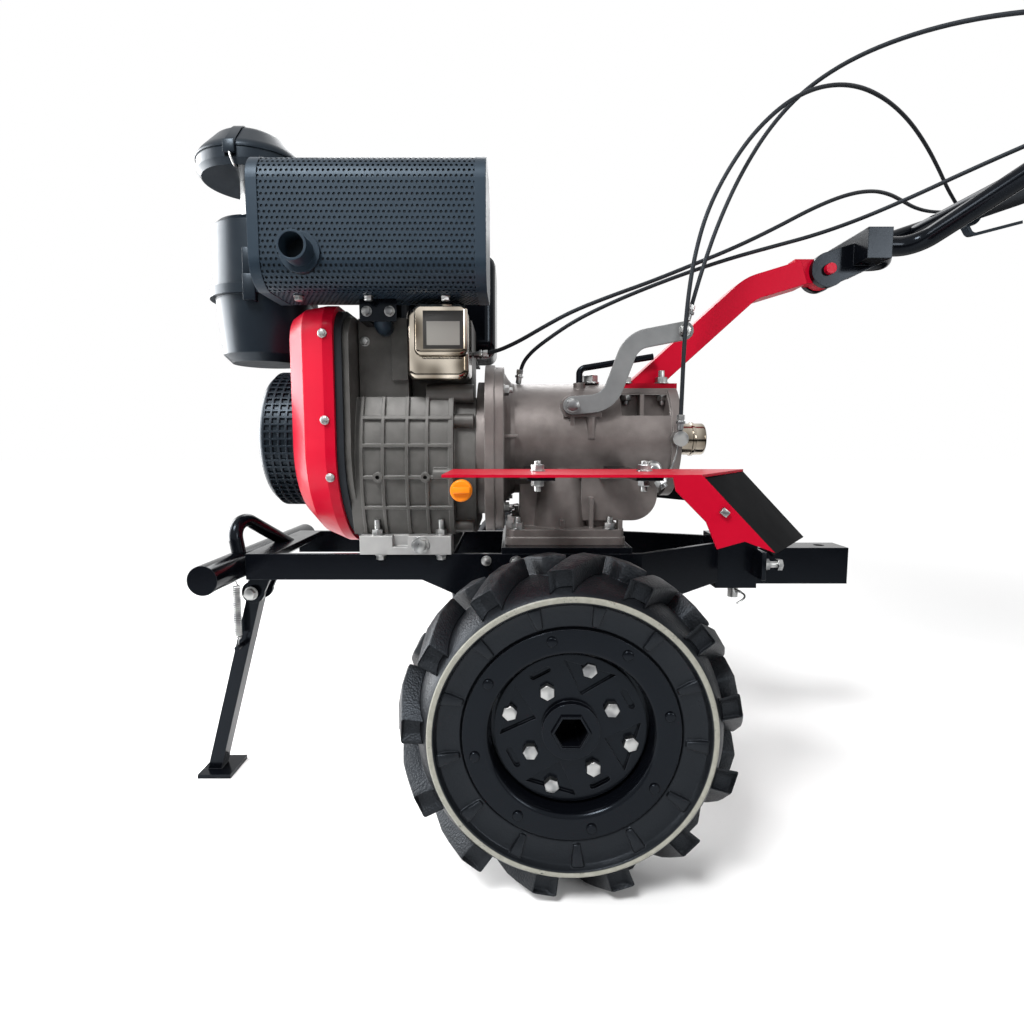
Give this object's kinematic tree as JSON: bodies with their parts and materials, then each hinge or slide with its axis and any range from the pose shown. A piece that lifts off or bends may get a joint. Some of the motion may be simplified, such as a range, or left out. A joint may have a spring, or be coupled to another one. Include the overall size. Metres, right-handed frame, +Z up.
{
  "type": "two-wheeled diesel power weeder",
  "caption": "Walk-behind diesel power weeder with lugged tyres, air-cooled engine and gearbox on a steel frame, tilting handlebar, rear hitch and folding front stand.",
  "frame": {"origin": "on the floor, below the middle of the overall length, in the machine's middle plane", "axes": "+X to the rear (handlebar), -Y to the machine's left, +Z up from the floor"},
  "size_m": [1.5114, 0.722, 1.0585],
  "materials": {
    "red_paint": "gloss enamel",
    "black_paint": "gloss enamel",
    "muffler_black": "matt heat-proof paint",
    "engine_casting": "sand cast, bead blasted",
    "gearbox_casting": "die cast, satin",
    "foot_alloy": "machined",
    "zinc_steel": "zinc plated",
    "chrome_cover": "polished chrome",
    "tyre_rubber": "moulded",
    "black_rubber": "moulded",
    "black_plastic": "moulded satin",
    "orange_plastic": "moulded"
  },
  "bodies": {
    "chassis": {"frame_rails": "black_paint", "engine_bed": "black_paint", "gearbox_saddle": "black_paint", "front_bumper": "black_paint", "front_hoop": "black_paint", "stand_bracket": "black_paint", "hitch_box": "black_paint", "hitch_pin": "zinc_steel", "drawbar": "black_paint", "engine_block": "engine_casting", "engine_feet": "foot_alloy", "cylinder_head": "engine_casting", "rocker_cover": "chrome_cover", "blower_shroud": "red_paint", "shroud_seal": "black_rubber", "recoil_starter": "black_plastic", "muffler": "muffler_black", "exhaust_elbow": "muffler_black", "muffler_bracket": "black_paint", "fuel_tank": "black_paint", "tank_cap": "black_plastic", "tank_bracket": "black_paint", "air_cleaner_cup": "black_plastic", "air_cleaner_body": "black_plastic", "air_cleaner_neck": "zinc_steel", "air_cleaner_cap": "black_plastic", "intake_pipe": "black_paint", "oil_cap": "orange_plastic", "bell_housing": "gearbox_casting", "gearbox_case": "gearbox_casting", "gearbox_end_cap": "chrome_cover", "gearbox_leg": "gearbox_casting", "clutch_arm": "zinc_steel", "reverse_lever": "zinc_steel", "shift_rod": "black_paint", "handle_column": "red_paint", "fender_left": "red_paint", "fender_right": "red_paint", "fender_flaps": "black_paint", "fender_arms": "black_paint", "cable_clutch": "black_rubber", "cable_reverse": "black_rubber", "cable_throttle": "black_rubber", "cable_gear": "black_rubber"},
    "left_wheel": {"tyre_left": "tyre_rubber", "rim_left": "black_paint", "hub_left": "black_paint", "axle_left": "zinc_steel"},
    "right_wheel": {"tyre_right": "tyre_rubber", "rim_right": "black_paint", "hub_right": "black_paint", "axle_right": "zinc_steel"},
    "stand": {"stand_leg": "black_paint", "stand_springs": "zinc_steel"},
    "handlebar": {"handle_yoke": "black_paint", "handlebar_left": "black_paint", "handlebar_right": "black_paint", "handlebar_crossbar": "black_paint", "grips": "black_rubber", "levers": "black_plastic"}
  },
  "joints": [
    {"name": "left_wheel_spin", "type": "hinge", "parent": "chassis", "child": "left_wheel", "pos_m": [-0.20566, -0.31, 0.194], "axis": [0, 1, 0], "continuous": true},
    {"name": "right_wheel_spin", "type": "hinge", "parent": "chassis", "child": "right_wheel", "pos_m": [-0.20566, 0.31, 0.194], "axis": [0, 1, 0], "continuous": true},
    {"name": "stand_fold", "type": "hinge", "parent": "chassis", "child": "stand", "pos_m": [-0.65766, -0.07, 0.287], "axis": [0, -1, 0], "range_deg": [0, 100], "deforming": ["stand_springs"]},
    {"name": "handlebar_tilt", "type": "hinge", "parent": "chassis", "child": "handlebar", "pos_m": [0.21234, 0, 0.772], "axis": [0, -1, 0], "range_deg": [-20, 25], "deforming": ["cable_clutch", "cable_reverse", "cable_throttle", "cable_gear"]}
  ]
}
